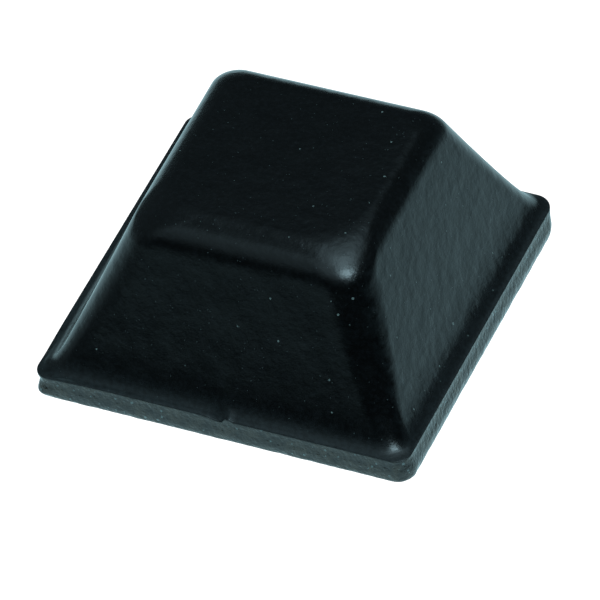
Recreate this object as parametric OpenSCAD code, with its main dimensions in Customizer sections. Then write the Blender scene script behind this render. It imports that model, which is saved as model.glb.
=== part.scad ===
// Rubber foot.
// A tapered square bumper, moulded in one piece on a thin sheet of the same
// rubber. The foot is then stamped out of the sheet, which leaves a flange
// with a slightly slanted cut wall round a smooth, soft-edged moulding. The
// cut is not centred on the moulding, so the flange is a little wider on
// some sides than on others.
// The origin is the middle of the face that lies on the surface, +Z is up.

/* [Flange] */
// Width of the square that the die cuts out
flange_w = 12.7; // [12.5:0.1:16]
// Height of the cut edge above the surface
flange_t = 0.9; // [0.7:0.01:1.2]
// How far the foot of the wall stands to the right of its edge
cut_lean_x = 0.12; // [-0.2:0.01:0.2]
// How far the foot of the wall stands to the back of its edge
cut_lean_y = -0.05; // [-0.2:0.01:0.2]
// Depth of the hollow in the cut wall
wall_hollow = 0.02; // [0:0.01:0.2]
// Extra rounding of the wall's corners at the depth of the hollow
hollow_corner = 0.05; // [0:0.01:0.2]
// Height of the widest line of the lower wall, where it bulges
wall_belly = 0.3; // [0.1:0.01:0.4]
// How far the bottom edge of the wall is drawn in
wall_tuck = 0.08; // [0:0.01:0.15]
// Radius of the worn edge between wall and flange
edge_round = 0.03; // [0.01:0.005:0.06]

/* [Corners of the cut] */
// Corner radius of the edge at the back right
edge_back_right = 0.63; // [0.3:0.01:1.2]
// Corner radius of the edge at the back left
edge_back_left = 0.48; // [0.3:0.01:1.2]
// Corner radius of the edge at the front left
edge_front_left = 0.42; // [0.3:0.01:1.2]
// Corner radius of the edge at the front right
edge_front_right = 0.55; // [0.3:0.01:1.2]
// Corner radius at the foot of the wall, back right
foot_back_right = 0.86; // [0.3:0.01:1.2]
// Corner radius at the foot of the wall, back left
foot_back_left = 0.48; // [0.3:0.01:1.2]
// Corner radius at the foot of the wall, front left
foot_front_left = 0.3; // [0.3:0.01:1.2]
// Corner radius at the foot of the wall, front right
foot_front_right = 0.62; // [0.3:0.01:1.2]

/* [Nick] */
// Place of the nick along the front edge, from the middle
nick_x = 0; // [-3:0.1:3]
// Length of the dip in the edge beside the nick
nick_w = 0.7; // [0.3:0.05:1.2]
// Depth of the dip at its deepest
nick_deep = 0.12; // [0:0.01:0.2]
// Length of the small tag of rubber that stands up beside the dip
tag_w = 0.36; // [0.2:0.02:0.6]
// Height of that tag
tag_h = 0.1; // [0:0.01:0.15]

/* [Flange top] */
// Width of the flange at the back, up to where the side would meet it
gap_back = 0.4; // [0.2:0.01:0.8]
// Width of the flange on the left
gap_left = 0.48; // [0.2:0.01:0.8]
// Width of the flange at the front
gap_front = 0.33; // [0.2:0.01:0.8]
// Width of the flange on the right
gap_right = 0.51; // [0.2:0.01:0.8]
// How softly the flange bends up into the back
bend_back = 0.2; // [0.08:0.01:0.4]
// How softly the flange bends up into the left side
bend_left = 0.1; // [0.08:0.01:0.4]
// How softly the flange bends up into the front
bend_front = 0.24; // [0.08:0.01:0.4]
// How softly the flange bends up into the right side
bend_right = 0.2; // [0.08:0.01:0.4]

/* [Moulding] */
// How far the moulding is turned against the cut, in degrees
turn = 0.5; // [-0.8:0.1:0.8]
// Height of the foot, from the surface to its flat top
foot_h = 6.3; // [5:0.05:9]
// Distance from the middle to the back of the flat top, before rounding
top_back = 3.77; // [3.2:0.01:4.6]
// Distance from the middle to the left of the flat top
top_left = 3.57; // [3.2:0.01:4.6]
// Distance from the middle to the front of the flat top
top_front = 3.75; // [3.2:0.01:4.6]
// Distance from the middle to the right of the flat top
top_right = 3.91; // [3.2:0.01:4.6]
// How far the front face is dished at half height
front_dish = 0.04; // [0:0.01:0.15]

/* [Top roundings] */
// Radius between the back and the top
round_back = 1.05; // [0.4:0.05:1.6]
// Radius between the left side and the top
round_left = 1; // [0.4:0.05:1.6]
// Radius between the front and the top
round_front = 1.4; // [0.4:0.05:1.6]
// Radius between the right side and the top
round_right = 0.95; // [0.4:0.05:1.6]

/* [Corners of the moulding] */
// Corner radius at the flange, inside the bend
corner_low = 0.4; // [0.2:0.05:0.8]
// Corner radius of both back corners at half height
corner_back = 0.7; // [0.5:0.05:1.2]
// Corner radius of the front left corner at half height and above
corner_front_left = 0.95; // [0.5:0.05:1.2]
// Corner radius of the front right corner at half height and above
corner_front_right = 1.1; // [0.5:0.05:1.2]
// Corner radius of both back corners at the top
corner_back_top = 0.8; // [0.5:0.05:1.2]
// How much wider the front left corner grows as it rounds over into the top
crown_front_left = 0.9; // [0:0.1:1.2]
// How much wider the front right corner grows as it rounds over into the top
crown_front_right = 1.2; // [0:0.1:1.2]
// How much the bend at the foot of a corner widens its radius
corner_flare = 1.5; // [0:0.1:2]

/* [Hidden] */

rubber_black = "#14191b";

// Steps of the mesh: in each corner, along each side, and in front beside and at the nick
corner_steps = 12;
side_steps = 7;
front_steps = 4;
nick_steps = 8;
tag_steps = 6;
// Steps of the mesh from the surface up to the top
tuck_steps = 4;
wall_steps = 10;
edge_steps = 3;
low_steps = 15;
high_steps = 25;

// The lower levels start this thin and grow by this factor
first_level = 0.02;
level_growth = 1.25;
// The last level lies this far under the top
last_drop = 0.002;
// Height over which the corners of the edge pass into those of the moulding
blend_h = 0.12;
// Height over which the turn of the moulding sets in
turn_h = 0.15;
// Height over which the nick fades out on the flange
nick_fade = 0.12;
// Height over which the worn edge fades out on the flange
wear_fade = 0.1;
// Smallest radius that the mesh still holds
radius_least = 0.05;
// How far from the straight front edge a point still counts as lying on it
on_edge = 0.001;

half_w = flange_w / 2;
lean = [cut_lean_x, cut_lean_y];

// Values of the four sides: back, left, front, right
gap = [gap_back, gap_left, gap_front, gap_right];
bend = [bend_back, bend_left, bend_front, bend_right];
top_half = [top_back, top_left, top_front, top_right];
top_round = [round_back, round_left, round_front, round_right];
dish = [0, 0, front_dish, 0];

// Values of the four corners: back right, back left, front left, front right
edge_corners = [edge_back_right, edge_back_left, edge_front_left, edge_front_right];
foot_corners = [foot_back_right, foot_back_left, foot_front_left, foot_front_right];
mid_corners = [corner_back, corner_back, corner_front_left, corner_front_right];
top_corners = [corner_back_top, corner_back_top, corner_front_left, corner_front_right];
crown = [0, 0, crown_front_left, crown_front_right];

// The two sides that meet at each corner
meeting = [[3, 0], [0, 1], [1, 2], [2, 3]];

// Rise of each side over its run, and the angle at which it leaves the flat
steep = [for (k = [0:3]) (foot_h - flange_t) / (half_w - gap[k] - top_half[k])];
side_angle = [for (m = steep) atan(m)];

// Even marks from a up to, but not at, b
function marks(a, b, steps) = [for (i = [0:steps - 1]) a + (b - a) * i / steps];

// Ends of the straight front edge, and the marks along it: close together at the nick
front_start = edge_front_left - half_w;
front_end = half_w - edge_front_right;
front_marks = concat(
    marks(front_start, nick_x - nick_w, front_steps),
    marks(nick_x - nick_w, nick_x, nick_steps),
    marks(nick_x, nick_x + tag_w, tag_steps),
    marks(nick_x + tag_w, front_end, front_steps),
    [front_end]
);
front_shares = [for (x = front_marks) (x - front_start) / (front_end - front_start)];

// One corner of an outline: an arc of radius r in the quarter that starts at angle a
function arc(cx, cy, r, a) =
    [for (i = [0:corner_steps]) let (b = a + 90 * i / corner_steps) [cx + r * cos(b), cy + r * sin(b)]];

// Points strictly between p and q
function between(p, q) = [for (i = [1:side_steps - 1]) p + (q - p) * i / side_steps];

// Points strictly between p and q along the front side, at the marks
function front(p, q) = [for (i = [1:len(front_shares) - 2]) p + (q - p) * front_shares[i]];

// A soft square: h is the distance to each side, r the radius at each corner, counter-clockwise
function outline(h, r) =
    let (
        back_right = arc(h[3] - r[0], h[0] - r[0], r[0], 0),
        back_left = arc(r[1] - h[1], h[0] - r[1], r[1], 90),
        front_left = arc(r[2] - h[1], r[2] - h[2], r[2], 180),
        front_right = arc(h[3] - r[3], r[3] - h[2], r[3], 270)
    )
    concat(
        back_right, between(back_right[corner_steps], back_left[0]),
        back_left, between(back_left[corner_steps], front_left[0]),
        front_left, front(front_left[corner_steps], front_right[0]),
        front_right, between(front_right[corner_steps], back_right[0])
    );

// How far the edge of the flange drops at x, beside the nick; the tag counts as a rise
function nick_drop(x) =
    let (t = (x - nick_x + nick_w) / nick_w, u = (x - nick_x) / tag_w)
    (t > 0 && t <= 1) ? nick_deep * (1 - sqrt(1 - t * t)) :
    (u > 0 && u < 1) ? -tag_h * pow(sin(180 * u), 2) : 0;

// A ring at height z, turned, shifted by a part of the lean, with its share of the nick
function ring(z, h, r, turned, leaning, nick_share) =
    [for (p = outline(h, r)) [
        p.x * cos(turned) - p.y * sin(turned) + lean.x * leaning,
        p.x * sin(turned) + p.y * cos(turned) + lean.y * leaning,
        z - (p.y < on_edge - h[2] ? nick_share * nick_drop(p.x) : 0)
    ]];

// A ring of the cut wall, drawn in by inset; down is 0 at the edge and 1 at the foot of the wall
function cut_ring(z, inset, extra, down, nick_share) =
    let (
        w = half_w - inset,
        r = [for (c = [0:3])
            max(edge_corners[c] * (1 - down) + foot_corners[c] * down - inset + extra, radius_least)]
    )
    ring(z, [w, w, w, w], r, 0, down - 0.5, nick_share);

// The wall is tucked in below its belly, and slightly hollow and slanted above it
tuck_rings = [for (i = [0:tuck_steps - 1])
    let (t = 1 - i / tuck_steps, z = wall_belly * (1 - t))
    cut_ring(z, wall_tuck * (1 - sqrt(1 - t * t)), 0, 1, 0)];

wall_top = flange_t - edge_round;
slant_rings = [for (i = [0:wall_steps])
    let (u = i / wall_steps, hollow = pow(sin(180 * u), 2))
    cut_ring(wall_belly + (wall_top - wall_belly) * u, wall_hollow * hollow, hollow_corner * hollow,
        (1 + cos(180 * u)) / 2, u * u)];

edge_rings = [for (i = [1:edge_steps])
    let (a = 90 * i / (edge_steps + 1))
    cut_ring(wall_top + edge_round * sin(a), edge_round * (1 - cos(a)), 0, 0, 1)];

// How far up the moulding a height lies: 0 at the flange, 1 at the top
function share_at(z) = (z - flange_t) / (foot_h - flange_t);

// Distance from the cut edge to the plane of side k
function plane_at(k, z) = gap[k] + (z - flange_t) / steep[k];

// The part of that distance which the bend between flange and side takes back
function bend_at(k, z) = bend[k] * gap[k] / (z - flange_t + bend[k]);

// The extra distance where the side rounds over into the top
function rounding_at(k, z) =
    let (
        r = top_round[k],
        drop = foot_h - z,
        start = half_w - top_half[k] + r * tan(side_angle[k] / 2)
    )
    drop < r * (1 - cos(side_angle[k])) ?
        max(0, start - r * sqrt(1 - pow(1 - drop / r, 2)) - plane_at(k, z)) : 0;

// Dish of side k at height z
function dish_at(k, z) = let (t = share_at(z)) dish[k] * 4 * t * (1 - t);

// Distance from the middle to side k at height z
function half_at(k, z) =
    half_w - plane_at(k, z) + bend_at(k, z) - rounding_at(k, z) - dish_at(k, z)
    - edge_round * max(0, 1 - (z - flange_t) / wear_fade);

// How much the rounding into the top narrows an outline at side k
function narrowing_at(k, z) =
    let (w = half_w - plane_at(k, z) + bend_at(k, z)) (w - rounding_at(k, z)) / w;

// How far side k has rounded over at height z: 0 on the plain side, 1 on the flat top
function over_at(k, z) = rounding_at(k, z) / (top_round[k] * tan(side_angle[k] / 2));

// Mean of a pair
function mean(p) = (p[0] + p[1]) / 2;

// Corner radius of the moulding at corner c and height z
function corner_at(c, z) =
    let (
        t = share_at(z),
        plain = corner_low * (1 - t) * (1 - 2 * t) + mid_corners[c] * 4 * t * (1 - t)
            + top_corners[c] * t * (2 * t - 1),
        flare = corner_flare * mean([for (k = meeting[c]) bend_at(k, z)]),
        body = (plain + flare) * mean([for (k = meeting[c]) narrowing_at(k, z)])
            + crown[c] * sqrt(mean([for (k = meeting[c]) over_at(k, z)])),
        near = pow(max(0, 1 - (z - flange_t) / blend_h), 2)
    )
    body * (1 - near) + (edge_corners[c] - edge_round / 2) * near;

// Turn of the outline at height z, none at the edge
function turn_at(z) = turn * (1 - pow(max(0, 1 - (z - flange_t) / turn_h), 2));

// Heights of the rings above the edge: thin levels at the bend, and again at the top
growth_sum = (pow(level_growth, low_steps) - 1) / (level_growth - 1);
low_levels = [for (i = [0:low_steps])
    flange_t + first_level * (pow(level_growth, i) - 1) / (level_growth - 1)];
high_span = foot_h - flange_t - first_level * growth_sum;
high_levels = [for (i = [1:high_steps]) foot_h - high_span * pow(last_drop / high_span, i / high_steps)];

body_rings = [for (z = concat(low_levels, high_levels))
    ring(z, [for (k = [0:3]) half_at(k, z)], [for (c = [0:3]) corner_at(c, z)], turn_at(z), -0.5,
        max(0, 1 - (z - flange_t) / nick_fade))];

rings = concat(tuck_rings, slant_rings, edge_rings, body_rings);
ring_size = len(rings[0]);
ring_count = len(rings);

// Skin between neighbouring rings, closed by a flat fan of triangles below and on top
module loft(rings) {
    points = concat([for (r = rings) each r], [[0, 0, 0], [0, 0, foot_h]]);
    last_ring = (ring_count - 1) * ring_size;
    bottom_middle = ring_count * ring_size;
    top_middle = bottom_middle + 1;
    skin = [for (k = [0:ring_count - 2], i = [0:ring_size - 1])
        let (j = (i + 1) % ring_size, a = k * ring_size, b = a + ring_size)
        each [[a + i, b + i, b + j], [a + i, b + j, a + j]]];
    bottom = [for (i = [0:ring_size - 1]) [bottom_middle, i, (i + 1) % ring_size]];
    top = [for (i = [0:ring_size - 1]) [top_middle, last_ring + (i + 1) % ring_size, last_ring + i]];
    polyhedron(points, concat(skin, bottom, top));
}

module rubber_foot() {
    color(rubber_black) loft(rings);
}

rubber_foot();
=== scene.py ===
from math import atan, cos, pi, radians, sin, sqrt, tan

import bmesh
import bpy
from mathutils import Matrix, Vector
from mathutils.noise import noise as lump


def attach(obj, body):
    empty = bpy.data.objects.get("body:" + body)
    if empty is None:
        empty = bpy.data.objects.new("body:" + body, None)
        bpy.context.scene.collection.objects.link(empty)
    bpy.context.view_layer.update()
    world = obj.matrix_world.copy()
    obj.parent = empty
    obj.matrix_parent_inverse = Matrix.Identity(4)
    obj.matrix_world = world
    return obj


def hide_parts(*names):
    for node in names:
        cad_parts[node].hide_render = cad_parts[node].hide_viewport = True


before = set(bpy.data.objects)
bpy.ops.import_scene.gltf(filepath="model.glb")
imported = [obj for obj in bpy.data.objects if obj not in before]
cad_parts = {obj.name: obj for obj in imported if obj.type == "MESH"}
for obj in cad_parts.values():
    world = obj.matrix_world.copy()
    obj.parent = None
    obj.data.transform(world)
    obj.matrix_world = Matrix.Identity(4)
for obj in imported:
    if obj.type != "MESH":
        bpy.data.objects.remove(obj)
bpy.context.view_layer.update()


# ---------------------------------------------------------------- camera
# A long lens, above the front right of the foot, turned a little so that the
# front edge runs downhill to the right. Its lengths are in millimetres.
MM = 0.001
CAMERA_AZIMUTH = 26.432
CAMERA_ELEVATION = 43.761
CAMERA_ROLL = -5.367
CAMERA_AWAY = 305.003
CAMERA_SLIDE = (-0.0272, -0.2125)
FOCUS_PX = 9620.02
FRAME_PX = 600
SENSOR_MM = 36
CLIP_START = 0.01

round_by, up_by, roll = radians(CAMERA_AZIMUTH), radians(CAMERA_ELEVATION), radians(CAMERA_ROLL)
back = Vector((sin(round_by) * cos(up_by), -cos(round_by) * cos(up_by), sin(up_by)))
level = Vector((cos(round_by), sin(round_by), 0))
upright = back.cross(level)
cam_right = cos(roll) * level + sin(roll) * upright
cam_up = cos(roll) * upright - sin(roll) * level

camera_data = bpy.data.cameras.new("camera")
camera_data.sensor_width = SENSOR_MM
camera_data.sensor_fit = "HORIZONTAL"
camera_data.lens = FOCUS_PX * SENSOR_MM / FRAME_PX
camera_data.clip_start = CLIP_START
camera = bpy.data.objects.new("camera", camera_data)
bpy.context.collection.objects.link(camera)
stand = Matrix((cam_right, cam_up, back)).transposed().to_4x4()
stand.translation = (back * CAMERA_AWAY - cam_right * CAMERA_SLIDE[0] - cam_up * CAMERA_SLIDE[1]) * MM
camera.matrix_world = stand
bpy.context.scene.camera = camera
bpy.context.scene.view_settings.view_transform = "Standard"


# ---------------------------------------------------------------- floor
# A sheet of white plastic lit from below, as on a light table, so that the
# foot throws no shadow on it. It gives the most light close round the foot
# and in a wide pool behind it on the left, and less further off.
FLOOR_RADIUS = 0.6
FLOOR_CORNERS = 96
FLOOR_BELOW = 0.00001
FLOOR_GLOW = 1.35
FLOOR_WHITE = (1, 1, 1, 1)
POOL_MIDDLE = (-0.020, 0.018, 0)
POOL_NEAR, POOL_FAR = 0.010, 0.055
POOL_GLOW, POOL_EDGE_GLOW = 1.1, 0.27
CLOSE_NEAR, CLOSE_FAR = 0.0078, 0.0105
GLOW_TINT = (0.63, 1.0, 1.10, 1)


def node(tree, kind, **settings):
    """A shader node. Each setting names one of the node's own values or, with _ for a space,
    one of its inputs, which takes a number, a colour or another node's output."""
    made = tree.nodes.new("ShaderNode" + kind)
    for name, value in settings.items():
        if hasattr(made, name):
            setattr(made, name, value)
        elif isinstance(value, bpy.types.NodeSocket):
            tree.links.new(value, made.inputs[name.replace("_", " ")])
        else:
            made.inputs[name.replace("_", " ")].default_value = value
    return made


def reckon(tree, operation, *values):
    """The result of a maths node on outputs or numbers."""
    made = node(tree, "Math", operation=operation)
    for slot, value in zip(made.inputs, values):
        if isinstance(value, (int, float)):
            slot.default_value = value
        else:
            tree.links.new(value, slot)
    return made.outputs["Value"]


def reckon_place(tree, operation, place, by=None):
    """The result of a vector node on an output and three numbers."""
    made = node(tree, "VectorMath", operation=operation)
    tree.links.new(place, made.inputs[0])
    if by:
        made.inputs[1].default_value = by
    return made.outputs["Value" if operation in ("DISTANCE", "DOT_PRODUCT") else "Vector"]


def spread(tree, value, from_low, from_high, to_low=0.0, to_high=1.0, way="LINEAR"):
    """Stretch a value from one range to another, held at both ends."""
    return node(tree, "MapRange", interpolation_type=way, Value=value, From_Min=from_low,
                From_Max=from_high, To_Min=to_low, To_Max=to_high).outputs["Result"]


def blend(tree, share, first, second):
    """Mix two colours, each a colour or another node's output."""
    return node(tree, "Mix", data_type="RGBA", Factor=share, A=first, B=second).outputs["Result"]


def outwards(tree, place):
    """How far a place is from the foot's middle, sideways or to the front or back."""
    apart = node(tree, "SeparateXYZ", Vector=reckon_place(tree, "ABSOLUTE", place))
    return reckon(tree, "MAXIMUM", apart.outputs["X"], apart.outputs["Y"])


floor_mesh = bpy.data.meshes.new("floor")
floor_bm = bmesh.new()
bmesh.ops.create_circle(floor_bm, cap_ends=True, segments=FLOOR_CORNERS, radius=FLOOR_RADIUS)
floor_bm.to_mesh(floor_mesh)
floor_bm.free()
floor = bpy.data.objects.new("floor", floor_mesh)
bpy.context.collection.objects.link(floor)
floor.location.z = -FLOOR_BELOW

lit_sheet = bpy.data.materials.new("lit white sheet")
lit_sheet.use_nodes = True
tree = lit_sheet.node_tree
tree.nodes.clear()
place = node(tree, "NewGeometry").outputs["Position"]
by_camera = node(tree, "LightPath").outputs["Is Camera Ray"]
pool = spread(tree, reckon_place(tree, "DISTANCE", place, POOL_MIDDLE), POOL_NEAR, POOL_FAR,
              POOL_GLOW, POOL_EDGE_GLOW, "SMOOTHSTEP")
close = spread(tree, outwards(tree, place), CLOSE_NEAR, CLOSE_FAR, POOL_GLOW, 0, "SMOOTHSTEP")
strength = node(tree, "Mix", Factor=by_camera, A=reckon(tree, "MAXIMUM", close, pool), B=FLOOR_GLOW)
glow = node(tree, "Emission", Color=blend(tree, by_camera, GLOW_TINT, FLOOR_WHITE),
            Strength=strength.outputs["Result"])
node(tree, "OutputMaterial", Surface=glow.outputs["Emission"])
floor_mesh.materials.append(lit_sheet)


# ---------------------------------------------------------------- light
# Soft boxes round the table in a dim room. The key light is small, strong and
# high at the front right. The others are weak and wide: overhead, in front,
# behind and on the left. The room is darkest low at the front right.
SOFT_BOXES = [
    # azimuth from the front to the right, elevation, even to, fades out at (degrees), glow
    (55, 57, 2, 12, 10.5),
    (120, 79, 3, 27, 1.0),
    (80, 76, 2, 13, 2.2),
    (10, 64, 6, 24, 0.45),
    (0, 58, 8, 34, 0.16),
    (-28, 46, 8, 27, 0.20),
    (-168, 66, 8, 27, 0.08),
    (175, 64, 5, 22, 0.16),
    (-75, 0, 2, 15, 0.15),
    (-95, 42, 15, 50, 0.07),
]
LIGHT_TINT = (0.68, 1.0, 1.12, 1)
ROOM_GLOW, ROOM_DARK = 0.075, 0.025
DARK_AZIMUTH, DARK_ELEVATION = 40, 5
DARK_EDGE, DARK_CORE = 0.2, 0.7  # cosines of the angle from the darkest direction

room = bpy.data.worlds.new("room")
room.use_nodes = True
bpy.context.scene.world = room
tree = room.node_tree
sky = tree.nodes["Background"]
sky.inputs["Color"].default_value = LIGHT_TINT
look = node(tree, "TexCoord").outputs["Generated"]


def fading(azimuth, elevation, start, end, at_start, at_end):
    """Glow that changes with the cosine of the angle from a direction."""
    a, e = radians(azimuth), radians(elevation)
    along = reckon_place(tree, "DOT_PRODUCT", look, Vector((sin(a) * cos(e), -cos(a) * cos(e), sin(e))))
    return spread(tree, along, start, end, at_start, at_end, "SMOOTHSTEP")


glow = fading(DARK_AZIMUTH, DARK_ELEVATION, DARK_EDGE, DARK_CORE, ROOM_GLOW, ROOM_DARK)
for azimuth, elevation, even, out_at, strength in SOFT_BOXES:
    box = fading(azimuth, elevation, cos(radians(out_at)), cos(radians(even)), 0, strength)
    glow = reckon(tree, "ADD", glow, box)
tree.links.new(glow, sky.inputs["Strength"])


# ---------------------------------------------------------------- foot
# One moulding of black rubber, cut out of a moulded sheet by a die together
# with its thin square flange. The skin is glossy from the mould and the cut
# wall is torn and grey. It sticks to a device by its flat underside.

# Lengths are in millimetres. Sides go back, left, front, right; corners go
# back right, back left, front left, front right.
FLANGE_W = 12.7
EDGE_Z = 0.9
TOP_Z = 6.3
CORNER_STEPS = 20
SIDE_STEPS = 90

# The cut wall: it leans, is a little hollow above and bulges to a tucked-in,
# ragged foot. Its rags are so many to the millimetre.
CUT_TOP_R = (0.63, 0.48, 0.56, 0.55)
CUT_LOW_R = (0.86, 0.48, 0.3, 0.62)
LEAST_R = 0.04
CUT_LEAN = (0.12, -0.05)
CUT_HOLLOW = 0.015
BELLY_Z = 0.3
TUCK = 0.08
EDGE_ROUND = 0.03
RAGGED, RAGGED_ABOVE, RAGGED_INWARDS = 0.014, 0.1, 0.6
RAGS, RAGS_UP, FINE_RAGS, FINE_RAG_SHARE = 3.1, 4, 9, 0.5
WALL_STEPS = 22
LIP_STEPS = 5

# The nick in the front edge, with a tag of rubber beside it. A point is on
# the front when it lies this near to it.
NICK_X, NICK_W, NICK_DEEP = 0.17, 0.65, 0.1
NICK_STEEP = 1.4
TAG_W, TAG_H = 0.3, 0.12
ON_FRONT = 0.01

# The front left corner was pulled out of shape as the foot tore free: by
# height, how far it stands out and how far it sags.
PULLED_CORNER, PULL_REACH, SAG_REACH = (-6.35, -6.35), 1.2, 2.6
PULL = ((0.0, -0.02, 0.0), (0.22, 0.07, 0.0), (0.62, -0.02, 0.04), (0.87, 0.045, 0.08),
        (0.9, 0.05, 0.06), (0.96, 0.04, 0.0), (1.15, 0.0, 0.0))

# The moulding on the flange: four sides with a hollow fillet below and a
# rounding above, and corners that widen to a crown at the two in front.
SIDE_GAP = (0.40, 0.48, 0.33, 0.51)
TOP_HALF = (3.77, 3.57, 3.75, 3.91)
FILLET_REACH = (0.2, 0.1, 0.24, 0.2)
TOP_ROUND = (1.05, 1.0, 1.4, 0.95)
SWELL = (0, 0, -0.04, 0)
TURN = 0.5
CORNER_LOW = (0.4, 0.4, 0.4, 0.4)
CORNER_MID = (0.7, 0.7, 0.95, 1.1)
CORNER_TOP = (0.82, 0.82, 0.95, 1.1)
CORNER_CROWN = (0, 0, 0.9, 1.2)
CORNER_SIDES = ((3, 0), (0, 1), (1, 2), (2, 3))
FILLET_SPREAD = 1.5

# How far above the cut edge its corners, lip, nick and straightness still tell.
CORNER_FADE, LIP_FADE, NICK_FADE, TURN_FADE = 0.12, 0.1, 0.28, 0.15

# Rings from the cut edge up, close together at the edge and at the top.
FIRST_RISE, RISE_GROWTH = 0.012, 1.10
TOP_RINGS, LAST_DROP = 44, 0.0015


def outline(halves, radii):
    """Points round a soft square, counter-clockwise from the right side of the back right corner."""
    north, west, south, east = halves
    corners = ((east, north, 1, 1), (west, north, -1, 1), (west, south, -1, -1), (east, south, 1, -1))
    arcs = []
    for k, (x, y, sx, sy) in enumerate(corners):
        r = radii[k]
        angles = [pi / 2 * (k + i / CORNER_STEPS) for i in range(CORNER_STEPS + 1)]
        arcs.append([(sx * (x - r) + r * cos(a), sy * (y - r) + r * sin(a)) for a in angles])
    spots = []
    for k in range(4):
        spots += arcs[k]
        p, q = arcs[k][-1], arcs[(k + 1) % 4][0]
        spots += [(p[0] + (q[0] - p[0]) * i / SIDE_STEPS, p[1] + (q[1] - p[1]) * i / SIDE_STEPS)
                  for i in range(1, SIDE_STEPS)]
    return spots


def nick_drop(x):
    """How far the front edge dips at x; the tag stands up."""
    t, u = (x - NICK_X + NICK_W) / NICK_W, (x - NICK_X) / TAG_W
    if 0 < t <= 1:
        return NICK_DEEP * (1 - cos(pi * min(1, NICK_STEEP * t))) / 2
    if 0 < u < 1:
        return -TAG_H * sin(pi * u) ** 2
    return 0


def cut_ring(z, inset, lean, nick_share):
    """The outline of the cut at height z. The lean runs from 0 at the edge to 1 at the foot of the
    wall, and the share of the nick from 0 at the foot to 1 at the edge."""
    radii = [max(a * (1 - lean) + b * lean - inset, LEAST_R) for a, b in zip(CUT_TOP_R, CUT_LOW_R)]
    w = FLANGE_W / 2 - inset
    raggedness = (RAGGED_ABOVE + (1 - RAGGED_ABOVE) * lean ** 3) * RAGGED
    ring = []
    for x, y in outline((w, w, w, w), radii):
        rags = lump((x * RAGS, y * RAGS, z * RAGS_UP))
        fine_rags = lump((x * FINE_RAGS, y * FINE_RAGS, z * FINE_RAGS)) * FINE_RAG_SHARE
        torn = 1 - raggedness * (RAGGED_INWARDS + rags + fine_rags) / w
        drop = nick_share * nick_drop(x) if y < ON_FRONT - w else 0
        ring.append((x * torn + CUT_LEAN[0] * (lean - 0.5), y * torn + CUT_LEAN[1] * (lean - 0.5), z - drop))
    return ring


steep = [(TOP_Z - EDGE_Z) / (FLANGE_W / 2 - SIDE_GAP[k] - TOP_HALF[k]) for k in range(4)]
side_angle = [atan(m) for m in steep]


def side_inset(k, z):
    """How far side k of the moulding stands in from the cut edge at height z, what the rounding
    above and the fillet below change in that, and how far the rounding has come."""
    share = (z - EDGE_Z) / (TOP_Z - EDGE_Z)
    plane = SIDE_GAP[k] + (z - EDGE_Z) / steep[k]
    low = FILLET_REACH[k] * SIDE_GAP[k] / (z - EDGE_Z + FILLET_REACH[k])
    drop, turn = TOP_Z - z, TOP_ROUND[k]
    high = 0
    if drop < turn * (1 - cos(side_angle[k])):
        top_inset = FLANGE_W / 2 - TOP_HALF[k] + turn * tan(side_angle[k] / 2)
        high = max(0, top_inset - turn * sqrt(1 - (1 - drop / turn) ** 2) - plane)
    inset = plane - low + high - SWELL[k] * 4 * share * (1 - share)
    return max(inset, 0), high, low, high / (turn * tan(side_angle[k] / 2))


def still(z, fade):
    """What is left, at height z, of something that fades out above the cut edge."""
    return max(0, 1 - (z - EDGE_Z) / fade)


def mould_ring(z):
    """The outline of the moulding at height z."""
    share = (z - EDGE_Z) / (TOP_Z - EDGE_Z)
    sides = [side_inset(k, z) for k in range(4)]
    halves = [FLANGE_W / 2 - inset for inset, high, low, over in sides]
    narrower = [half / (half + side[1]) for half, side in zip(halves, sides)]
    radii = []
    for c, (a, b) in enumerate(CORNER_SIDES):
        corner = (CORNER_LOW[c] * (1 - share) * (1 - 2 * share) + CORNER_MID[c] * 4 * share * (1 - share)
                  + CORNER_TOP[c] * share * (2 * share - 1))
        fillet = (sides[a][2] + sides[b][2]) / 2 * FILLET_SPREAD
        crown = CORNER_CROWN[c] * sqrt(max(sides[a][3] + sides[b][3], 0) / 2)
        body = (corner + fillet) * (narrower[a] + narrower[b]) / 2 + crown
        near = still(z, CORNER_FADE) ** 2
        radii.append(body * (1 - near) + (CUT_TOP_R[c] - EDGE_ROUND * 0.5) * near)
    w = [half - EDGE_ROUND * still(z, LIP_FADE) for half in halves]
    turn = radians(TURN) * (1 - still(z, TURN_FADE) ** 2)
    ring = []
    for x, y in outline(w, radii):
        drop = still(z, NICK_FADE) * nick_drop(x) if y < 0 and abs(y + w[2]) < ON_FRONT else 0
        ring.append((x * cos(turn) - y * sin(turn) - CUT_LEAN[0] / 2,
                     y * cos(turn) + x * sin(turn) - CUT_LEAN[1] / 2, z - drop))
    return ring


def pulled(x, y, z):
    """Where a point lies once the front left corner is pulled out of shape."""
    off = Vector((x - PULLED_CORNER[0], y - PULLED_CORNER[1])).length
    for (z0, out0, sag0), (z1, out1, sag1) in zip(PULL, PULL[1:]):
        if z0 <= z < z1 and off < SAG_REACH:
            part = (1 - cos(pi * (z - z0) / (z1 - z0))) / 2
            out = (out0 + (out1 - out0) * part) * (1 + cos(pi * min(1, off / PULL_REACH))) / 2
            sag = (sag0 + (sag1 - sag0) * part) * (1 + cos(pi * off / SAG_REACH)) / 2
            return x - out / sqrt(2), y - out / sqrt(2), z - sag
    return x, y, z


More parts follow.
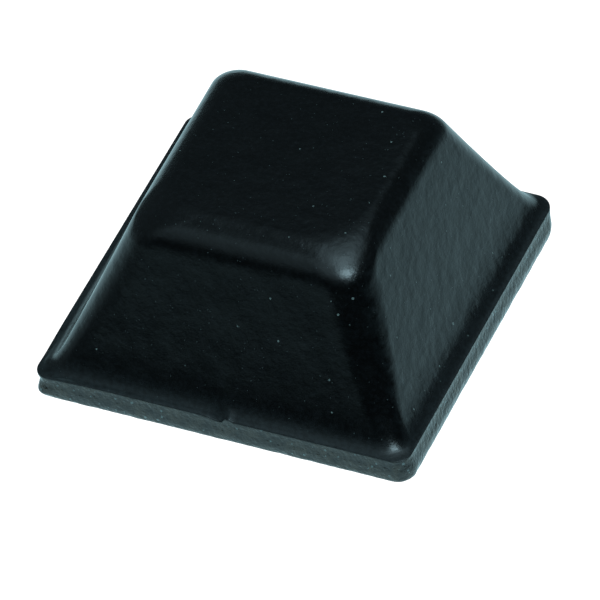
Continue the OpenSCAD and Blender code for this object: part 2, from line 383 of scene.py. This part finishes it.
rings = []
for i in range(WALL_STEPS + 1):
    z = (EDGE_Z - EDGE_ROUND) * i / WALL_STEPS
    nick_share = (i / WALL_STEPS) ** 2
    if z < BELLY_Z:
        tuck = TUCK * (1 - sqrt(1 - ((BELLY_Z - z) / BELLY_Z) ** 2))
        rings.append(cut_ring(z, tuck, 1, nick_share))
    else:
        u = (z - BELLY_Z) / (EDGE_Z - BELLY_Z)
        rings.append(cut_ring(z, CUT_HOLLOW * sin(pi * u) ** 2, (1 + cos(pi * u)) / 2, nick_share))
wall_rings = len(rings)
for i in range(1, LIP_STEPS):
    a = pi / 2 * i / LIP_STEPS
    rings.append(cut_ring(EDGE_Z - EDGE_ROUND * (1 - sin(a)), EDGE_ROUND * (1 - cos(a)), 0, 1))

heights = []
z, rise = EDGE_Z, FIRST_RISE
while z < (EDGE_Z + TOP_Z) / 2:
    heights.append(z)
    z += rise
    rise *= RISE_GROWTH
rest = TOP_Z - heights[-1]
heights += [TOP_Z - rest * (LAST_DROP / rest) ** (i / TOP_RINGS) for i in range(1, TOP_RINGS + 1)]
rings += [mould_ring(z) for z in heights]

foot_mesh = bpy.data.meshes.new("foot")
bm = bmesh.new()
grid = [[bm.verts.new(Vector(pulled(*spot)) * MM) for spot in ring] for ring in rings]
size = len(grid[0])
for k in range(len(grid) - 1):
    for i in range(size):
        j = (i + 1) % size
        face = bm.faces.new((grid[k][i], grid[k][j], grid[k + 1][j], grid[k + 1][i]))
        face.material_index = 1 if k < wall_rings else 0
        face.smooth = True
under = bm.verts.new((0, 0, 0))
crown = bm.verts.new((0, 0, (TOP_Z - LAST_DROP) * MM))
for i in range(size):
    j = (i + 1) % size
    face = bm.faces.new((under, grid[0][j], grid[0][i]))
    face.material_index = 1
    face = bm.faces.new((crown, grid[-1][i], grid[-1][j]))
    face.smooth = True
bm.normal_update()
bm.to_mesh(foot_mesh)
bm.free()
foot = bpy.data.objects.new("foot", foot_mesh)
bpy.context.collection.objects.link(foot)


def noise(tree, where, scale, detail=2.0, roughness=0.5):
    return node(tree, "TexNoise", Vector=where, Scale=scale, Detail=detail,
                Roughness=roughness).outputs["Fac"]


def in_millimetres(tree, stretch=(1, 1, 1)):
    """Where a point lies on the foot, in millimetres."""
    place = node(tree, "TexCoord").outputs["Object"]
    return reckon_place(tree, "MULTIPLY", place, tuple(s / MM for s in stretch))


# Specks: some of the cells of a loose packing hold a grain of a chance size,
# with a ragged outline.
SPECK_EDGE, SPECK_RAGS = 0.04, 28.0
SPECK_LEAST, SPECK_RANGE = 0.75, 0.5
specks = bpy.data.node_groups.new("specks", "ShaderNodeTree")
specks.interface.new_socket("Where", in_out="INPUT", socket_type="NodeSocketVector")
for name in ("Per mm", "Chance", "Radius"):
    specks.interface.new_socket(name, in_out="INPUT", socket_type="NodeSocketFloat")
specks.interface.new_socket("Specks", in_out="OUTPUT", socket_type="NodeSocketFloat")
given, result = specks.nodes.new("NodeGroupInput").outputs, specks.nodes.new("NodeGroupOutput")
cells = node(specks, "TexVoronoi", feature="F1", distance="EUCLIDEAN", Vector=given["Where"],
             Scale=given["Per mm"])
lot = node(specks, "SeparateColor", Color=cells.outputs["Color"]).outputs["Red"]
luck = reckon(specks, "DIVIDE", reckon(specks, "SUBTRACT", given["Chance"], lot), given["Chance"])
reach = reckon(specks, "MULTIPLY", reckon(specks, "MULTIPLY", luck, given["Radius"]), given["Per mm"])
ragged = reckon(specks, "MULTIPLY_ADD", noise(specks, given["Where"], SPECK_RAGS), SPECK_RANGE, SPECK_LEAST)
inside = reckon(specks, "SUBTRACT", reckon(specks, "MULTIPLY", reach, ragged), cells.outputs["Distance"])
specks.links.new(spread(specks, inside, 0.0, SPECK_EDGE), result.inputs["Specks"])


def scatter(tree, where, per_mm, chance, radius):
    """Specks over the foot: how close the cells are, how many hold a grain, and its greatest radius."""
    return node(tree, "Group", node_tree=specks, Where=where, Per_mm=per_mm, Chance=chance,
                Radius=radius).outputs["Specks"]


# The skin from the mould: black and glossy, with a faint grain. Its edges are
# rubbed duller. A paler colour along the rim is painted sheen for the light the rim catches. Dust lies on
# it, thickest in a few places.
# A pattern is given by its size per millimetre, detail and roughness, and its
# range by where it starts and ends to tell. Dust is given by the cells per
# millimetre, the share of them that holds a speck, and the speck's radius.
RUBBER_DEEP, RUBBER_PALE = (0.0002, 0.0003, 0.0005, 1), (0.0036, 0.0040, 0.0050, 1)
GRAIN, GRAIN_RANGE = (7.0, 3.0, 0.65), (0.47, 0.67)
FINE_DUST, FINE_DUST_COLOUR = (12.0, 0.13, 0.022), (0.06, 0.075, 0.075, 1)
DUST, DUST_STRETCH, DUST_COLOUR = (5.0, 0.055, 0.046), (1, 1.15, 0.9), (0.18, 0.22, 0.21, 1)
CLUMPED_DUST, CLUMP_CORE = (5.5, 0.4, 0.055), 0.6
CLUMPS = [  # middle, reach
    ((5.85, -0.4, 1.3), 0.9),
    ((3.75, -4.15, 4.9), 0.7),
    ((2.2, -5.85, 1.3), 0.45),
]
# The haze colour serves the random stains and also the painted sheen along the rim.
HAZE_AND_SHEEN_COLOUR = (0.018, 0.022, 0.024, 1)
STAIN, STAIN_RANGE, STAIN_MOST = (1.6, 4.0, 0.6), (0.45, 0.75), 0.07
SIDE_STAIN, SIDE_STAIN_RANGE, SIDE_STAIN_MOST = (4.0, 3.0, 0.6), (0.4, 0.68), 0.55
RIM_SHEEN_REACH, RIM_SHEEN_RANGE, RIM_SHEEN_LEAST = (5.8, 6.35), (0.3, 0.6), 0.2
SKIN_ROUGH, RIM_ROUGH, RIM_REACH = 0.22, 0.2, (5.9, 6.3)
MOTTLE, MOTTLE_RANGE, MOTTLE_ROUGH = (1.4, 4.0, 0.6), (0.3, 0.7), (-0.02, 0.05)
SIDE_FACING, TOP_FACING = (0.6, 0.85), (0.9, 0.98)
STREAKS, STREAK_LEAN, STREAK_STRETCH = (2.8, 4.0, 0.65), 42, (0.6, 1, 0.65)
SIDE_GRAIN, SIDE_GRAIN_WEIGHT, SIDE_WEIGHT = (1.8, 3.0, 0.6), 3.0, 1.2
TOP_GRAIN, TOP_WEIGHT = 2.6, 3.0
WAVES, WAVE_WEIGHT = 0.9, 4.0
SKIN_BUMP, SKIN_BUMP_DEEP = 0.43, 0.000014

skin = bpy.data.materials.new("moulded skin")
skin.use_nodes = True
tree = skin.node_tree
rubber = tree.nodes["Principled BSDF"].inputs
here = in_millimetres(tree)
turned = node(tree, "SeparateXYZ", Vector=node(tree, "TexCoord").outputs["Normal"]).outputs
on_side = spread(tree, reckon(tree, "ABSOLUTE", turned["X"]), *SIDE_FACING)
on_top = spread(tree, turned["Z"], *TOP_FACING)
outward = outwards(tree, here)

grain = noise(tree, here, *GRAIN)
colour = blend(tree, spread(tree, grain, *GRAIN_RANGE), RUBBER_DEEP, RUBBER_PALE)
colour = blend(tree, scatter(tree, here, *FINE_DUST), colour, FINE_DUST_COLOUR)
colour = blend(tree, scatter(tree, in_millimetres(tree, DUST_STRETCH), *DUST), colour, DUST_COLOUR)
gathered = 0.0
for middle, reach in CLUMPS:
    away = reckon_place(tree, "DISTANCE", here, middle)
    gathered = reckon(tree, "MAXIMUM", gathered, spread(tree, away, reach * CLUMP_CORE, reach, 1.0, 0.0))
clumped = reckon(tree, "MULTIPLY", gathered, scatter(tree, here, *CLUMPED_DUST))
colour = blend(tree, clumped, colour, DUST_COLOUR)
stain = spread(tree, noise(tree, here, *STAIN), *STAIN_RANGE, 0.0, STAIN_MOST)
colour = blend(tree, stain, colour, HAZE_AND_SHEEN_COLOUR)
side_stain = spread(tree, noise(tree, here, *SIDE_STAIN), *SIDE_STAIN_RANGE, 0.0, SIDE_STAIN_MOST)
colour = blend(tree, reckon(tree, "MULTIPLY", on_side, side_stain), colour, HAZE_AND_SHEEN_COLOUR)
# Painted sheen: a paler colour towards the cut edge, for the light that the rim catches.
rim_sheen = reckon(tree, "MULTIPLY", spread(tree, outward, *RIM_SHEEN_REACH),
               spread(tree, grain, *RIM_SHEEN_RANGE, RIM_SHEEN_LEAST, 1.0))
colour = blend(tree, rim_sheen, colour, HAZE_AND_SHEEN_COLOUR)
tree.links.new(colour, rubber["Base Color"])

rim = spread(tree, outward, *RIM_REACH, SKIN_ROUGH, SKIN_ROUGH + RIM_ROUGH)
mottle = spread(tree, noise(tree, here, *MOTTLE), *MOTTLE_RANGE, *MOTTLE_ROUGH)
tree.links.new(reckon(tree, "ADD", rim, mottle), rubber["Roughness"])

# Its sides have fine streaks down the slope, and the rest an even grain.
slant = node(tree, "VectorRotate", rotation_type="X_AXIS", Vector=here, Angle=radians(STREAK_LEAN))
streaks = noise(tree, reckon_place(tree, "MULTIPLY", slant.outputs["Vector"], STREAK_STRETCH), *STREAKS)
side_grain = reckon(tree, "MULTIPLY_ADD", noise(tree, here, *SIDE_GRAIN), SIDE_GRAIN_WEIGHT, streaks)
height = reckon(tree, "MULTIPLY_ADD", noise(tree, here, WAVES), WAVE_WEIGHT, grain)
height = reckon(tree, "MULTIPLY_ADD", reckon(tree, "MULTIPLY", on_top, noise(tree, here, TOP_GRAIN)),
                TOP_WEIGHT, height)
height = reckon(tree, "MULTIPLY_ADD", reckon(tree, "MULTIPLY", on_side, side_grain), SIDE_WEIGHT, height)
bump = node(tree, "Bump", Strength=SKIN_BUMP, Distance=SKIN_BUMP_DEEP, Height=height)
tree.links.new(bump.outputs["Normal"], rubber["Normal"])

# The wall that the die cut: torn, grey and dull in grains, with pale crumbs
# and black specks painted as the shade in pits, which have no depth.
CUT_DEEP, CUT_PALE = (0.0006, 0.0008, 0.0005, 1), (0.032, 0.026, 0.018, 1)
CUT_ROUGH = (0.05, 0.17)
CUT_GRAIN, CUT_PATCHES, CUT_RANGE = (6.0, 2.0, 0.6), 1.7, (0.17, 0.36)
CRUMBS, CRUMB_COLOUR = (7.0, 0.30, 0.06), (0.10, 0.14, 0.14, 1)
PIT_SHADE, PIT_SHADE_STRETCH, PIT_SHADE_COLOUR = (7.0, 0.2, 0.06), (1.1, 1, 1), (0.0, 0.0, 0.0, 1)
CUT_BUMP, CUT_BUMP_DEEP = 1.0, 0.00004

cut = bpy.data.materials.new("cut wall")
cut.use_nodes = True
tree = cut.node_tree
rubber = tree.nodes["Principled BSDF"].inputs
here = in_millimetres(tree)
grain = noise(tree, here, *CUT_GRAIN)
torn = reckon(tree, "MULTIPLY", grain, noise(tree, here, CUT_PATCHES))
colour = blend(tree, spread(tree, torn, *CUT_RANGE), CUT_DEEP, CUT_PALE)
colour = blend(tree, scatter(tree, here, *CRUMBS), colour, CRUMB_COLOUR)
# Painted shade: black specks stand for the shade inside pits.
colour = blend(tree, scatter(tree, in_millimetres(tree, PIT_SHADE_STRETCH), *PIT_SHADE), colour, PIT_SHADE_COLOUR)
tree.links.new(colour, rubber["Base Color"])
tree.links.new(spread(tree, torn, *CUT_RANGE, *CUT_ROUGH), rubber["Roughness"])
bump = node(tree, "Bump", Strength=CUT_BUMP, Distance=CUT_BUMP_DEEP, Height=grain)
tree.links.new(bump.outputs["Normal"], rubber["Normal"])

foot_mesh.materials.append(skin)
foot_mesh.materials.append(cut)
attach(foot, "root")
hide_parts("rubber_foot")
